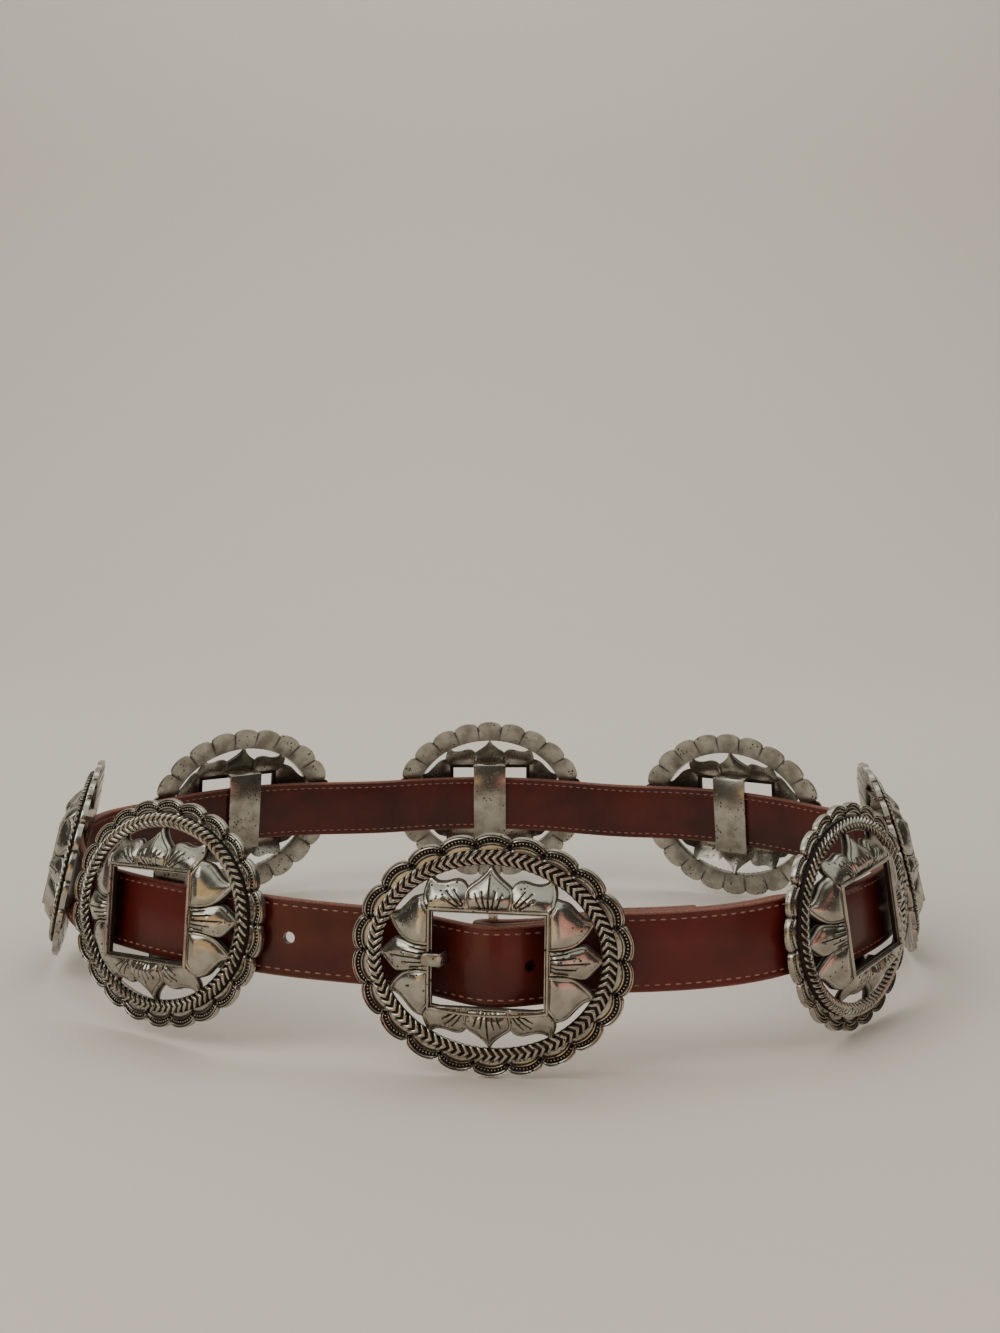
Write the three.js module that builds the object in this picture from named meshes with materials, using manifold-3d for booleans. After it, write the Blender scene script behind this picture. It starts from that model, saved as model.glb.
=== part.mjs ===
// Concho belt, fastened: one leather strap, seven pierced slides, a matching buckle and its prong.
// Millimetres, +Z up, the buckle faces -Y, and the origin is in the middle of the waist.
import * as THREE from 'three';
import { mergeVertices } from 'three/addons/utils/BufferGeometryUtils.js';
import Module from 'manifold-3d';

const wasm = await Module();
wasm.setup();

// Leather
const strap = {
  width: 23.4,
  thickness: 2.8,
  holePitch: 25.4,
  holeDiameter: 3.6,
  dropInBuckle: 2.4,
  dropInSlide: 1.7,
};
const clearance = 0.35;
const layerPitch = strap.thickness + clearance;

// Casting: ellipses are half width by half height, and z runs out from the plane of its rim
const rim = {
  lobes: 22,
  tip: [41.5, 35.35],
  notch: [39.5, 33.2],
  edge: 1.6,
};
const ringRows = [
  { name: 'foot', size: [36.1, 30.3], z: 2.5 },
  { name: 'crest', size: [34.0, 28.35], z: 4.5 },
  { name: 'lip', size: [31.9, 26.4], z: 2.9 },
  { name: 'back', size: [32.4, 26.9], z: 1.1 },
];
const lip = ringRows[2].size;
const frame = {
  outer: [17.4, 14.0],
  inner: [16.1, 13.25],
  back: 6.5,
  front: 8.9,
};
const dome = {
  atFrame: 8.3,
  atRing: 2.8,
  wall: 1.7,
  roundness: 1.7,
};

// Petal outlines in the upper right quarter, sharing edges, with the sides that each is mirrored to
const petals = [
  {
    name: 'crest',
    copies: [[1, 1], [1, -1]],
    crown: 1.5,
    heart: [0, 18.6],
    outline: [[-6.3, 13.6], [6.3, 13.6], [7.2, 18.5], [6.4, 20.8], [0, 27.3], [-6.4, 20.8], [-7.2, 18.5]],
  },
  {
    name: 'shoulder',
    copies: [[1, 1], [-1, 1], [1, -1], [-1, -1]],
    crown: 0.8,
    heart: [12.8, 18],
    outline: [[6.3, 13.6], [16.8, 13.6], [19.3, 17.8], [17.7, 23], [13.8, 21.4], [8.6, 22.3],
      [6.4, 20.8], [7.2, 18.5]],
  },
  {
    name: 'corner',
    copies: [[1, 1], [-1, 1], [1, -1], [-1, -1]],
    crown: 0.8,
    heart: [22.4, 10.4],
    outline: [[16.8, 3.9], [25, 4.6], [30.6, 11.3], [25.3, 13.8], [19.3, 17.8], [16.8, 13.6]],
  },
  {
    name: 'side',
    copies: [[1, 1], [-1, 1]],
    crown: 1.2,
    heart: [25, 0],
    outline: [[16.8, -3.9], [25, -4.6], [33, 0], [25, 4.6], [16.8, 3.9]],
  },
];

// Middle of the leather above a casting's rim plane: a hump over the buckle's bar, an arch in a slide
const hump = {
  rise: 7.9,
  halfLength: 21,
  base: -3.2,
  fall: 0.0061,
  fallFrom: 6,
  steps: [-24, -20, -15, -10, -5, 0, 5, 10, 15, 20, 24],
};
const arch = {
  top: 2.1,
  drop: 5.6,
  halfLength: 38,
  steps: [-38, -26, -13, 0, 13, 26, 38],
};

// How far the strap rides up beside the buckle, and between which distances from a casting it does
const lift = { right: 3.0, left: 1.2, from: 14, full: 38 };

// Bars behind the windows: the buckle's carries the folded strap, and a slide's loops behind it
function barBehind(leatherMiddle, width, depth) {
  return { width, depth, middle: leatherMiddle - strap.thickness / 2 - 2 * clearance - depth / 2 };
}
const buckleBar = barBehind(hump.base + hump.rise - layerPitch, 2.6, 2);
const slideBar = barBehind(arch.top, 14, 1.2);
const legs = { inside: 15.1, outside: 16.5, top: 7.4 };
const buckleBow = 1.4;

const prong = {
  width: 3.5,
  thickness: 1.5,
  eyeWall: 1.2,
  drop: 1,
  neck: 3,
  neckAt: -13.2,
  tipAt: -18.9,
  holeAt: -12.5,
  holeSize: 4.6,
};

// Where each casting sits, in the order of the strap: place in mm, turn, lean and roll in degrees
const places = [
  { name: 'buckle_frame', x: 3.7, y: -122, z: 0, turn: 8.75, lean: 2.9, roll: 0.3 },
  { name: 'concho_front_right', x: 116.2, y: -79.4, z: 0.3, turn: -51, lean: 7.5, roll: -4.7 },
  { name: 'concho_side_right', x: 148.5, y: 3, z: 0.6, turn: -85, lean: 14, roll: 0 },
  { name: 'concho_back_right', x: 103.5, y: 80, z: 0.8, turn: -147.4, lean: 8, roll: 0 },
  { name: 'concho_back_middle', x: 1.5, y: 107.6, z: 2, turn: 180, lean: 6, roll: 0 },
  { name: 'concho_back_left', x: -102, y: 78, z: 3, turn: 145, lean: 8, roll: 0 },
  { name: 'concho_side_left', x: -145.3, y: -11.3, z: 3.7, turn: 80, lean: 13.9, roll: 0 },
  { name: 'concho_front_left', x: -98, y: -86.1, z: 3, turn: 34, lean: 8.75, roll: -2.9 },
];
const backMiddle = 4;
const bendSteps = 4;
const tailEnd = -25;
const foldBackLength = 62;

// Solids from three.js geometry and back
function toSolid(geometry) {
  const bare = geometry.clone();
  bare.deleteAttribute('normal');
  bare.deleteAttribute('uv');
  const merged = mergeVertices(bare, 1e-4);
  return new wasm.Manifold(new wasm.Mesh({
    numProp: 3,
    vertProperties: new Float32Array(merged.attributes.position.array),
    triVerts: new Uint32Array(merged.index.array),
  }));
}

function toGeometry(solid) {
  const mesh = solid.getMesh();
  const geometry = new THREE.BufferGeometry();
  geometry.setAttribute('position', new THREE.BufferAttribute(mesh.vertProperties, 3));
  geometry.setIndex(new THREE.BufferAttribute(mesh.triVerts, 1));
  return geometry;
}

function join(solids) {
  return solids.reduce((whole, solid) => whole.add(solid));
}

function meshOf(points, faces) {
  const geometry = new THREE.BufferGeometry();
  const positions = points.flatMap((point) => point.toArray());
  geometry.setAttribute('position', new THREE.Float32BufferAttribute(positions, 3));
  geometry.setIndex(faces.flat());
  return geometry;
}

function onEllipse([halfWidth, halfHeight], angle, z) {
  return new THREE.Vector3(halfWidth * Math.cos(angle), halfHeight * Math.sin(angle), z);
}

// Rope ring and scalloped rim as one band: each lobe has three columns at the edge and one on the ring
function bandGeometry() {
  const curve = new THREE.EllipseCurve(0, 0, rim.tip[0], rim.tip[1], 0, 2 * Math.PI);
  const angleAt = (lobe) => curve.getUtoTmapping(lobe / rim.lobes) * 2 * Math.PI;
  const edgeColumns = 3;
  const perLobe = 2 * edgeColumns + ringRows.length;
  const points = [];
  const faces = [];
  for (let lobe = 0; lobe < rim.lobes; lobe += 1) {
    for (const z of [0, rim.edge]) {
      for (let column = 0; column < edgeColumns; column += 1) {
        const across = 2 * (column / edgeColumns) - 1;
        const bulge = Math.sqrt(1 - across * across);
        const size = rim.notch.map((notch, axis) => notch + (rim.tip[axis] - notch) * bulge);
        points.push(onEllipse(size, angleAt(lobe + column / edgeColumns), z));
      }
    }
    points.push(...ringRows.map((row) => onEllipse(row.size, angleAt(lobe), row.z)));
    const start = (step) => ((lobe + step) % rim.lobes) * perLobe;
    const edge = (level, i) => start(Math.floor(i / edgeColumns)) + level * edgeColumns + (i % edgeColumns);
    const ring = (row, i) => start(i) + 2 * edgeColumns + row;
    const last = ringRows.length - 1;
    const turn = 2;
    for (let i = 0; i < edgeColumns; i += 1) {
      const inner = i < turn ? 0 : 1;
      faces.push([edge(0, i), edge(0, i + 1), edge(1, i + 1)]);
      faces.push([edge(0, i), edge(1, i + 1), edge(1, i)]);
      faces.push([edge(1, i), edge(1, i + 1), ring(0, inner)]);
      faces.push([edge(0, i + 1), edge(0, i), ring(last, inner)]);
    }
    faces.push([edge(1, turn), ring(0, 1), ring(0, 0)]);
    faces.push([edge(0, turn), ring(last, 0), ring(last, 1)]);
    for (let row = 0; row < last; row += 1) {
      faces.push([ring(row, 0), ring(row, 1), ring(row + 1, 1)]);
      faces.push([ring(row, 0), ring(row + 1, 1), ring(row + 1, 0)]);
    }
  }
  return meshOf(points, faces);
}

// Height of the domed front between the window frame and the ring
function domeHeight(x, y) {
  const fromFrame = Math.max(0, Math.max(Math.abs(x) / frame.outer[0], Math.abs(y) / frame.outer[1]) - 1);
  const fromRing = Math.max(0, 1 - Math.hypot(x / lip[0], y / lip[1]));
  const share = fromFrame / (fromFrame + 1.3 * fromRing + 1e-6);
  return dome.atRing + (dome.atFrame - dome.atRing) * (1 - share ** dome.roundness);
}

function petalGeometry(petal, [sideX, sideY]) {
  const turned = sideX * sideY < 0 ? [...petal.outline].reverse() : petal.outline;
  const outline = turned.map(([x, y]) => [x * sideX, y * sideY]);
  const heart = [petal.heart[0] * sideX, petal.heart[1] * sideY];
  const point = ([x, y], rise) => new THREE.Vector3(x, y, domeHeight(x, y) + rise);
  const count = outline.length;
  const points = [
    ...outline.map((place) => point(place, 0)),
    ...outline.map((place) => point(place, -dome.wall)),
    point(heart, petal.crown),
    point(heart, petal.crown - dome.wall),
  ];
  const faces = [];
  for (let i = 0; i < count; i += 1) {
    const j = (i + 1) % count;
    faces.push([2 * count, i, j]);
    faces.push([2 * count + 1, count + j, count + i]);
    faces.push([i, count + i, count + j]);
    faces.push([i, count + j, j]);
  }
  return meshOf(points, faces);
}

// Rectangle whose lower side bows down in the middle
function windowOutline([halfWidth, halfHeight], bow) {
  const below = bow > 0 ? [-1, -0.5, 0, 0.5, 1] : [-1, 1];
  const lower = below.map((part) => new THREE.Vector2(
    part * halfWidth,
    -halfHeight - bow * (1 - part * part),
  ));
  return [...lower, new THREE.Vector2(halfWidth, halfHeight), new THREE.Vector2(-halfWidth, halfHeight)];
}

function slab(shape, from, to) {
  return new THREE.ExtrudeGeometry(shape, { depth: to - from, bevelEnabled: false }).translate(0, 0, from);
}

function frameGeometry(bow) {
  const shape = new THREE.Shape(windowOutline(frame.outer, bow));
  shape.holes.push(new THREE.Path(windowOutline(frame.inner, bow)));
  return slab(shape, frame.back, frame.front);
}

// Upright bar behind the window, with a leg at each end that reaches up to the petals
function barGeometry(bar) {
  const { inside, outside, top } = legs;
  const low = bar.middle - bar.depth / 2;
  const high = bar.middle + bar.depth / 2;
  const shape = new THREE.Shape([
    [-outside, low], [outside, low], [outside, top], [inside, top],
    [inside, high], [-inside, high], [-inside, top], [-outside, top],
  ].map(([y, z]) => new THREE.Vector2(y, z)));
  return slab(shape, -bar.width / 2, bar.width / 2).rotateX(Math.PI / 2).rotateZ(Math.PI / 2);
}

function castingGeometry(bar, bow) {
  const leaves = petals.flatMap((petal) => petal.copies.map((sides) => toSolid(petalGeometry(petal, sides))));
  const opening = slab(new THREE.Shape(windowOutline(frame.inner, bow)), 0, 2 * frame.front);
  const plate = join([toSolid(bandGeometry()), ...leaves]).subtract(toSolid(opening));
  return toGeometry(join([plate, toSolid(frameGeometry(bow)), toSolid(barGeometry(bar))]));
}

function wrap(index) {
  return (index + places.length) % places.length;
}

// Line of the strap through one casting, sloping with its neighbours' heights
function strapAt(index) {
  const place = places[wrap(index)];
  const before = places[wrap(index - 1)];
  const after = places[wrap(index + 1)];
  const distance = (one, other) => Math.hypot(one.x - other.x, one.y - other.y);
  const run = distance(before, place) + distance(place, after);
  const turn = THREE.MathUtils.degToRad(place.turn);
  const lean = THREE.MathUtils.degToRad(place.lean);
  const flat = new THREE.Vector3(-Math.sin(turn), -Math.cos(turn), 0);
  const rise = new THREE.Vector3(0, 0, 1);
  const up = rise.clone().multiplyScalar(Math.cos(lean)).addScaledVector(flat, -Math.sin(lean));
  const out = flat.clone().multiplyScalar(Math.cos(lean)).addScaledVector(rise, Math.sin(lean));
  const along = new THREE.Vector3(Math.cos(turn), -Math.sin(turn), (after.z - before.z) / run).normalize();
  const drop = wrap(index) === 0 ? strap.dropInBuckle : strap.dropInSlide;
  const middle = new THREE.Vector3(place.x, place.y, place.z).addScaledVector(up, -drop);
  return { along, up, out, middle };
}

// Height of the middle of the leather over a casting's rim plane, and the stretch that it holds for
function profileOf(index) {
  if (wrap(index) === 0) {
    const fallAt = (x) => hump.fall * Math.max(0, Math.abs(x) - hump.fallFrom) ** 2;
    const height = (x) => {
      const part = Math.min(1, Math.abs(x) / hump.halfLength);
      return hump.base + hump.rise * (0.5 + 0.5 * Math.cos(Math.PI * part)) - fallAt(x);
    };
    const reach = hump.steps.at(-1);
    return { height, steps: hump.steps, slope: -2 * fallAt(reach) / (reach - hump.fallFrom) };
  }
  const height = (x) => arch.top - arch.drop * (x / arch.halfLength) ** 2;
  return { height, steps: arch.steps, slope: -2 * arch.drop / arch.halfLength };
}

function stationIn(index, x) {
  const { along, up, out, middle } = strapAt(index);
  const point = middle.clone().addScaledVector(along, x).addScaledVector(out, profileOf(index).height(x));
  return { point, up, casting: index, x };
}

// Stations between one casting and the next, on a curve that leaves and meets their stretches
function bendAfter(index) {
  const here = strapAt(index);
  const next = strapAt(index + 1);
  const reach = profileOf(index).steps.at(-1);
  const start = stationIn(index, reach);
  const end = stationIn(index + 1, profileOf(index + 1).steps[0]);
  const chord = start.point.distanceTo(end.point);
  const leave = here.along.clone().addScaledVector(here.out, profileOf(index).slope).normalize();
  const meet = next.along.clone().addScaledVector(next.out, -profileOf(index + 1).slope).normalize();
  const bend = new THREE.CubicBezierCurve3(
    start.point,
    start.point.clone().addScaledVector(leave, chord / 3),
    end.point.clone().addScaledVector(meet, -chord / 3),
    end.point,
  );
  const stations = [];
  for (let step = 1; step < bendSteps; step += 1) {
    const part = step / bendSteps;
    const up = start.up.clone().lerp(end.up, part).normalize();
    stations.push({ point: bend.getPoint(part), up, casting: index, x: reach + chord * part });
  }
  return stations;
}

// The strap rides up between the buckle and the slide on either side of it
function lifted(station) {
  const { casting, x, point } = station;
  const rightOf = casting === 0 || (casting === 1 && x < 0);
  const leftOf = casting === places.length || (casting === places.length - 1 && x > 0);
  if (!rightOf && !leftOf) {
    return station;
  }
  const ends = [places[0], places[rightOf ? 1 : places.length - 1]];
  const shares = ends.map((end) => {
    const away = Math.hypot(point.x - end.x, point.y - end.y);
    return THREE.MathUtils.smoothstep(away, lift.from, lift.full);
  });
  const rise = (rightOf ? lift.right : lift.left) * shares[0] * shares[1];
  return { ...station, point: point.clone().addScaledVector(station.up, rise) };
}

// One turn of the front layer, from the buckle's bar round the waist and back to it
function frontLayer() {
  const stations = hump.steps.filter((x) => x >= 0).map((x) => stationIn(0, x));
  stations.push(...bendAfter(0));
  for (let index = 1; index < places.length; index += 1) {
    stations.push(...arch.steps.map((x) => stationIn(index, x)), ...bendAfter(index));
  }
  stations.push(...hump.steps.filter((x) => x < 0).map((x) => stationIn(places.length, x)));
  return stations.map(lifted);
}

// Each station's way along and its outward normal, from its neighbours
function withNormals(stations, looped) {
  const last = stations.length - 1;
  return stations.map((station, i) => {
    const before = stations[looped ? (i + last) % (last + 1) : Math.max(0, i - 1)];
    const after = stations[looped ? (i + 1) % (last + 1) : Math.min(last, i + 1)];
    const along = after.point.clone().sub(before.point).normalize();
    const up = station.up.clone().addScaledVector(along, -station.up.dot(along)).normalize();
    return { ...station, along, up, out: along.clone().cross(up) };
  });
}

function shifted(station, distance) {
  return { ...station, point: station.point.clone().addScaledVector(station.out, distance) };
}

// Strip of a given width and thickness along its stations, with flat ends
function strip(stations, width, thickness) {
  const corners = [[-1, -1], [1, -1], [1, 1], [-1, 1]];
  const count = corners.length;
  const section = (station) => corners.map(([side, face]) => station.point.clone()
    .addScaledVector(station.up, side * (station.width ?? width) / 2)
    .addScaledVector(station.out, face * thickness / 2));
  const points = withNormals(stations, false).flatMap(section);
  const faces = [[0, 2, 1], [0, 3, 2]];
  for (let row = 0; row < stations.length - 1; row += 1) {
    for (let i = 0; i < count; i += 1) {
      const here = row * count + i;
      const beside = row * count + ((i + 1) % count);
      faces.push([here, beside, beside + count]);
      faces.push([here, beside + count, here + count]);
    }
  }
  const end = (stations.length - 1) * count;
  faces.push([end, end + 1, end + 2], [end, end + 2, end + 3]);
  return toSolid(meshOf(points, faces));
}

// How many layers lie over the strap: one from the buckle to the first slide, where the tail ends
function layersOver(station) {
  if (station.casting === 0) {
    return 1;
  }
  if (station.casting > 1) {
    return 0;
  }
  const rampLength = 14;
  const part = THREE.MathUtils.clamp((station.x - tailEnd) / rampLength, 0, 1);
  return 0.5 + 0.5 * Math.cos(Math.PI * part);
}

// Short end folded back round the buckle's bar, behind the strap
function foldStations(front) {
  const { along, up, out, middle } = strapAt(0);
  const at = (x, z) => ({ point: middle.clone().addScaledVector(along, x).addScaledVector(out, z), up });
  const cornerRoom = 1.6;
  const halfWidth = buckleBar.width / 2 + clearance + cornerRoom + strap.thickness / 2;
  const halfDepth = buckleBar.depth / 2 + clearance + strap.thickness / 2;
  const atBar = buckleBar.middle - halfDepth;
  const rampLength = 20;
  const deepest = hump.base - hump.fall * (rampLength - hump.fallFrom) ** 2 - 2 * layerPitch;
  const run = front
    .filter(({ casting, x }) => casting === 0 && x > rampLength && x < foldBackLength)
    .map((station) => shifted(station, -2 * layerPitch))
    .reverse();
  for (const x of [20, 15, 10, 5]) {
    const part = 0.5 - 0.5 * Math.cos(Math.PI * x / rampLength);
    run.push(lifted({ ...at(x, atBar + (deepest - atBar) * part), casting: 0, x }));
  }
  const turns = 8;
  for (let turn = 0; turn < turns; turn += 1) {
    const angle = Math.PI * turn / turns;
    run.push(at(-halfWidth * Math.sin(angle), buckleBar.middle - halfDepth * Math.cos(angle)));
  }
  return run;
}

// Slot in the fold that the prong's eye stands in
function slotTool() {
  const { along, up, out, middle } = strapAt(0);
  const slot = { left: -8, right: 4, halfDepth: 5.5, width: prong.width + 0.8 };
  const centre = middle.clone()
    .addScaledVector(along, (slot.left + slot.right) / 2)
    .addScaledVector(up, strap.dropInBuckle - prong.drop);
  const ends = [-1, 1].map((side) => ({
    point: centre.clone().addScaledVector(out, buckleBar.middle + side * slot.halfDepth),
    up,
  }));
  return strip(ends, slot.width, slot.right - slot.left);
}

// Round punch through the strap, square to its face and moved up its width
function punch(station, diameter, rise) {
  const tool = new THREE.CylinderGeometry(diameter / 2, diameter / 2, 3 * strap.thickness, 10);
  tool.rotateX(Math.PI / 2);
  tool.applyMatrix4(new THREE.Matrix4().makeBasis(station.along, station.up, station.out));
  tool.translate(...station.point.clone().addScaledVector(station.up, rise).toArray());
  return toSolid(tool);
}

function lengthTo(stations, index) {
  let length = 0;
  for (let i = 1; i <= index; i += 1) {
    length += stations[i].point.distanceTo(stations[i - 1].point);
  }
  return length;
}

function stationAlong(stations, distance) {
  const after = stations.findIndex((station, i) => lengthTo(stations, i) > distance);
  const from = stations[after - 1];
  const part = (distance - lengthTo(stations, after - 1)) / from.point.distanceTo(stations[after].point);
  return { ...from, point: from.point.clone().lerp(stations[after].point, part) };
}

// Whole strap: folded round the bar, once round the waist, over the bar and on to the tail
function strapGeometry() {
  const front = withNormals(frontLayer(), true);
  const round = front.map((station) => shifted(station, -layerPitch * layersOver(station)));
  const half = front.findIndex(({ casting, x }) => casting === backMiddle && x === 0);
  const folded = [...foldStations(front), ...round.slice(0, half + 1)];
  const foldedEnd = strip(folded, strap.width, strap.thickness).subtract(slotTool());

  const tail = front.filter(({ casting, x }) => casting === 0 || (casting === 1 && x < tailEnd));
  const billet = withNormals([...round.slice(half), ...tail], false);
  const beside = billet.findIndex(({ casting, x }) => casting === places.length && x > prong.holeAt);
  const fastened = lengthTo(billet, beside) + prong.holeAt - billet[beside].x;
  const holes = [-2, -1, 1, 2].map((step) => punch(
    stationAlong(billet, fastened + step * strap.holePitch),
    strap.holeDiameter,
    0,
  ));
  const fastenedAt = stationAlong(billet, fastened);
  holes.push(punch(fastenedAt, prong.holeSize, strap.dropInBuckle - prong.drop));
  const billetEnd = strip(billet, strap.width, strap.thickness).subtract(join(holes));
  return toGeometry(foldedEnd.add(billetEnd));
}

// Prong: an eye round the buckle's bar, and a tongue that comes up through its hole to rest on the frame
function prongGeometry() {
  const hole = { x: buckleBar.width / 2 + clearance, z: buckleBar.depth / 2 + clearance };
  const outer = { x: hole.x + prong.eyeWall, z: hole.z + prong.eyeWall };
  const eye = new THREE.Shape().absellipse(0, buckleBar.middle, outer.x, outer.z, 0, 2 * Math.PI);
  const bore = [[-1, -1], [1, -1], [1, 1], [-1, 1]].map(([x, z]) => new THREE.Vector2(
    x * hole.x,
    buckleBar.middle + z * hole.z,
  ));
  eye.holes.push(new THREE.Path(bore));
  const settings = { depth: prong.width, bevelEnabled: false, curveSegments: 8 };
  const eyeGeometry = new THREE.ExtrudeGeometry(eye, settings);
  eyeGeometry.translate(0, 0, -prong.width / 2).rotateX(Math.PI / 2).translate(0, -prong.drop, 0);

  const rest = frame.front + clearance + prong.thickness / 2;
  const up = new THREE.Vector3(0, 1, 0);
  const tongue = [
    { x: -2.7, y: -prong.drop, z: -0.9 },
    { x: -5.2, y: -prong.drop, z: -1.3 },
    { x: -8.8, y: -prong.drop, z: -1.7 },
    { x: -10.6, y: -prong.drop, z: -2.5, width: prong.neck },
    { x: -11.7, y: -prong.drop, z: -2.3, width: prong.neck },
    { x: -12.3, y: -prong.drop, z: -1.2, width: prong.neck },
    { x: -13.1, y: -prong.drop, z: 0.9, width: prong.neck },
    { x: prong.neckAt, y: -0.9, z: 2.5 },
    { x: prong.neckAt, y: -0.3, z: rest - 1.8 },
    { x: prong.neckAt - 0.6, y: -0.2, z: rest - 0.4 },
    { x: prong.neckAt - 2, y: -0.1, z: rest },
    { x: prong.tipAt + 1.4, y: 0, z: rest },
    { x: prong.tipAt + 0.4, y: 0, z: rest, width: 2.7 },
    { x: prong.tipAt, y: 0, z: rest, width: 1.4 },
  ].map(({ x, y, z, width }) => ({ point: new THREE.Vector3(x, y, z), up, width }));
  return toGeometry(toSolid(eyeGeometry).add(strip(tongue, prong.width, prong.thickness)));
}

// Colours and surfaces
const silver = { color: 0x8f8a7c, roughness: 0.35, metalness: 1 };
const leather = { color: 0x3d120e, roughness: 0.38, metalness: 0 };

function seat(mesh, place) {
  const tilt = Math.PI / 2 - THREE.MathUtils.degToRad(place.lean);
  mesh.rotation.set(tilt, 0, -THREE.MathUtils.degToRad(place.roll), 'XZY');
  const stand = new THREE.Group();
  stand.position.set(place.x, place.y, place.z);
  stand.rotation.z = -THREE.MathUtils.degToRad(place.turn);
  stand.add(mesh);
  return stand;
}

function named(name, geometry, look) {
  const mesh = new THREE.Mesh(geometry, new THREE.MeshStandardMaterial(look));
  mesh.name = name;
  return mesh;
}

const group = new THREE.Group();
group.add(named('strap', strapGeometry(), leather));
const slideShape = castingGeometry(slideBar, 0);
const buckleShape = castingGeometry(buckleBar, buckleBow);
for (const place of places) {
  const shape = place.name === 'buckle_frame' ? buckleShape : slideShape;
  group.add(seat(named(place.name, shape, silver), place));
}
group.add(seat(named('buckle_prong', prongGeometry(), silver), places[0]));

export default group;
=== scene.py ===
# Concho belt, fastened: stitched leather strap, seven pierced slides, the buckle and its prong
import math
from itertools import pairwise

import bpy
import numpy as np
from mathutils import Matrix, Vector
from mathutils.geometry import delaunay_2d_cdt, interpolate_bezier


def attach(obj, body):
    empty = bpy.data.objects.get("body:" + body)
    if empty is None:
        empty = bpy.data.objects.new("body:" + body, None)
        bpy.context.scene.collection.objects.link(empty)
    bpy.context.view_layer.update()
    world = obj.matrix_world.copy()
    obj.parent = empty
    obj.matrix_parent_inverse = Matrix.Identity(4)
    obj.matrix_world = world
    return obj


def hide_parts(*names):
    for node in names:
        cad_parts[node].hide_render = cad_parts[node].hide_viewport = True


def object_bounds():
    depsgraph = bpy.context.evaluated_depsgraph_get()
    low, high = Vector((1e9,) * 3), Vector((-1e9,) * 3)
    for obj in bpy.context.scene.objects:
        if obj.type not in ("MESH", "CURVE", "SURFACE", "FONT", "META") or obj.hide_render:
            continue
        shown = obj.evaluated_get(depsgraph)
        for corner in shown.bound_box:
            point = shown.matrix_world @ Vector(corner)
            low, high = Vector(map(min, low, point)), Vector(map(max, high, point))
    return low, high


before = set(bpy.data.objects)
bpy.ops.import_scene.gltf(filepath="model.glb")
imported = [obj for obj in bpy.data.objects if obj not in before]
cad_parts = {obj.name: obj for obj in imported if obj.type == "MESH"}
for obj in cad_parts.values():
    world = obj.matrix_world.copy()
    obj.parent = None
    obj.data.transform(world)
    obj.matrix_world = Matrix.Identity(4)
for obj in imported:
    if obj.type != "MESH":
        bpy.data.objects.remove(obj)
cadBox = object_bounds()
mm = 0.001

# Sizes in millimetres. Ellipses are half width by half height, and a casting's z runs out from its rim plane
leather = {
    "width": 23.4, "thickness": 2.8, "cornerRadius": 0.8,
    "creaseFromEdge": 2.2, "creaseDepth": 0.18, "creaseHalfWidth": 0.6,
    "holePitch": 25.4, "holeDiameter": 3.6, "punchRoom": 0.3, "dropInBuckle": 2.4, "dropInSlide": 1.7,
}
clearance = 0.35
layerPitch = leather["thickness"] + clearance
hump = {"rise": 7.9, "halfLength": 21, "base": -3.2, "reach": 24, "fall": 0.0061, "fallFrom": 6}
lift = {"from": 14, "full": 38, "right": 3.0, "left": 1.2}
arch = {"top": 2.1, "drop": 5.6, "halfLength": 38, "reach": 38}
window = {"outer": (17.4, 14.0), "inner": (16.1, 13.25), "bar": (17.65, 14.8), "front": 8.9, "bow": 1.4}
dome = {"atFrame": 8.3, "atRing": 2.8, "wall": 1.7, "roundness": 1.7, "ringShare": 1.3}
legs = {"inside": 15.1, "outside": 16.5, "top": 7.4}

# Where each casting sits, in the order of the strap: turn, lean and roll in degrees
seatColumns = ("node", "x", "y", "z", "turn", "lean", "roll")
seatRows = [
    ("buckle_frame", 3.7, -122, 0, 8.75, 2.9, 0.3),
    ("concho_front_right", 116.2, -79.4, 0.3, -51, 7.5, -4.7),
    ("concho_side_right", 148.5, 3, 0.6, -85, 14, 0),
    ("concho_back_right", 103.5, 80, 0.8, -147.4, 8, 0),
    ("concho_back_middle", 1.5, 107.6, 2, 180, 6, 0),
    ("concho_back_left", -102, 78, 3, 145, 8, 0),
    ("concho_side_left", -145.3, -11.3, 3.7, 80, 13.9, 0),
    ("concho_front_left", -98, -86.1, 3, 34, 8.75, -2.9),
]
seats = [dict(zip(seatColumns, row)) for row in seatRows]
backMiddle = 4
tail = {"end": -25, "ramp": 14}
fold = {"length": 62, "ramp": 20, "cornerRoom": 1.6}


def seatMatrix(seat):
    place = Matrix.Translation((seat["x"], seat["y"], seat["z"]))
    turn = Matrix.Rotation(-math.radians(seat["turn"]), 4, "Z")
    lean = Matrix.Rotation(math.pi / 2 - math.radians(seat["lean"]), 4, "X")
    roll = Matrix.Rotation(-math.radians(seat["roll"]), 4, "Z")
    return Matrix.Scale(mm, 4) @ place @ turn @ lean @ roll


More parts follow.
